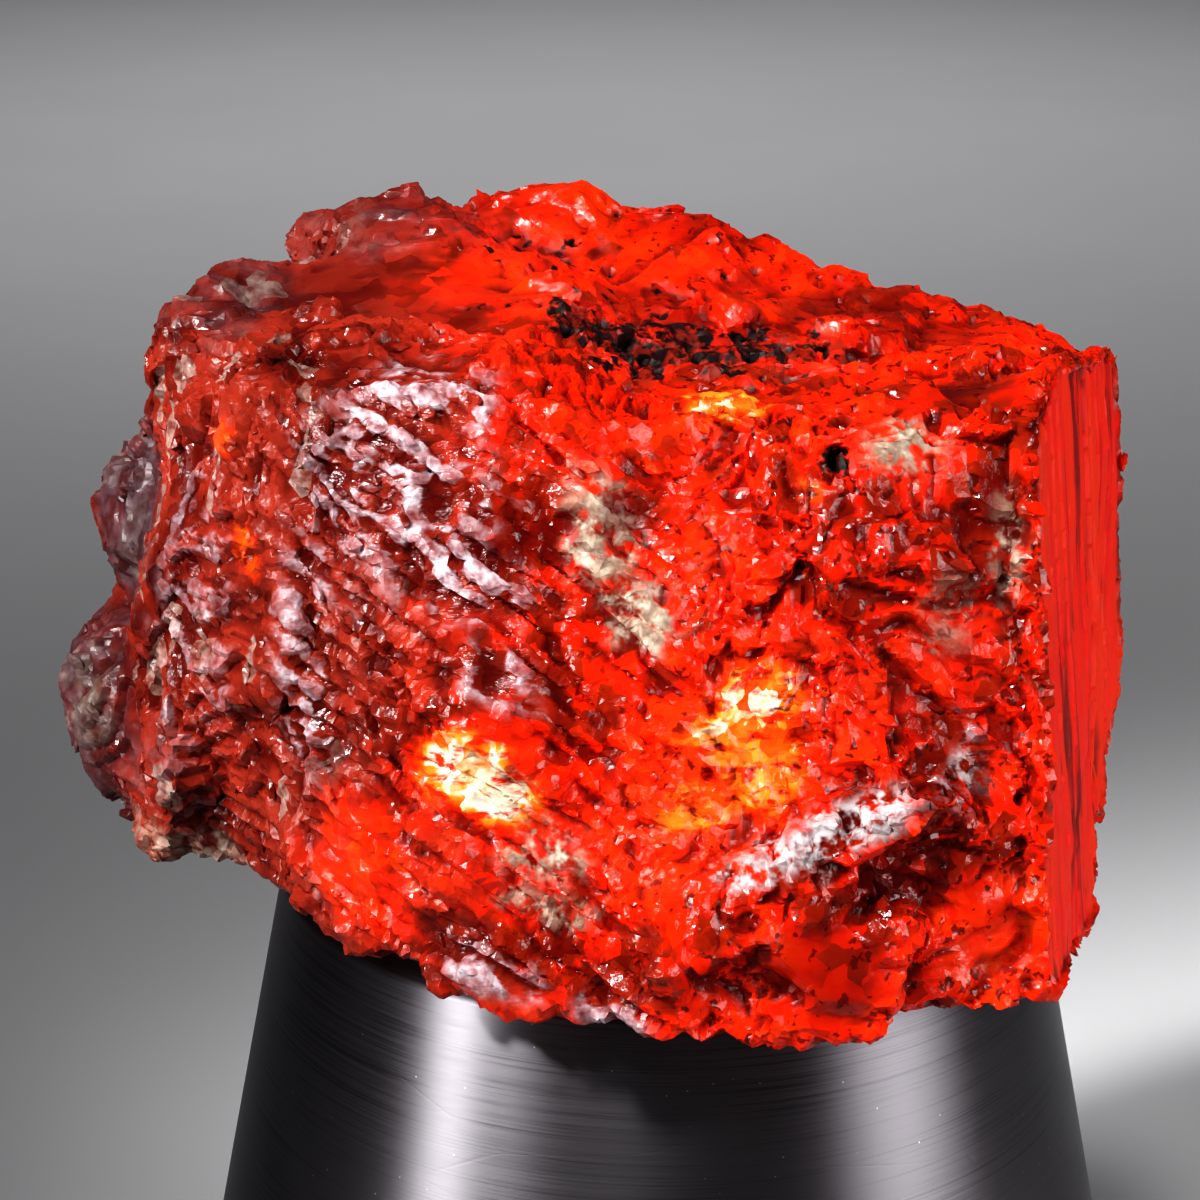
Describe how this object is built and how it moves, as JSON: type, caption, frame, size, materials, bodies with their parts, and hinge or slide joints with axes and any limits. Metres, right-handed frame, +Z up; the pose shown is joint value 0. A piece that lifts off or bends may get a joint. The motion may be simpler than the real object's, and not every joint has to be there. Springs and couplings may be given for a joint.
{
  "type": "rough sphalerite stone on a stand",
  "caption": "Rough red-orange sphalerite with a hackly broken front and a flat cleavage side, resting on a turned, brushed metal cone stand.",
  "frame": {"origin": "centre of the stand's flat base", "axes": "+Z up along the stand's axis; +X to the right and -Y towards a viewer of the stone's broad broken front"},
  "size_m": [0.0213, 0.02, 0.0267],
  "materials": {
    "ruby_sphalerite": "glossy broken faces, translucent red-orange with pale frosted patches",
    "brushed_metal": "fine brush lines around the axis, bright"
  },
  "bodies": {
    "root": {"sphalerite_stone": "ruby_sphalerite", "metal_stand": "brushed_metal"}
  },
  "joints": []
}
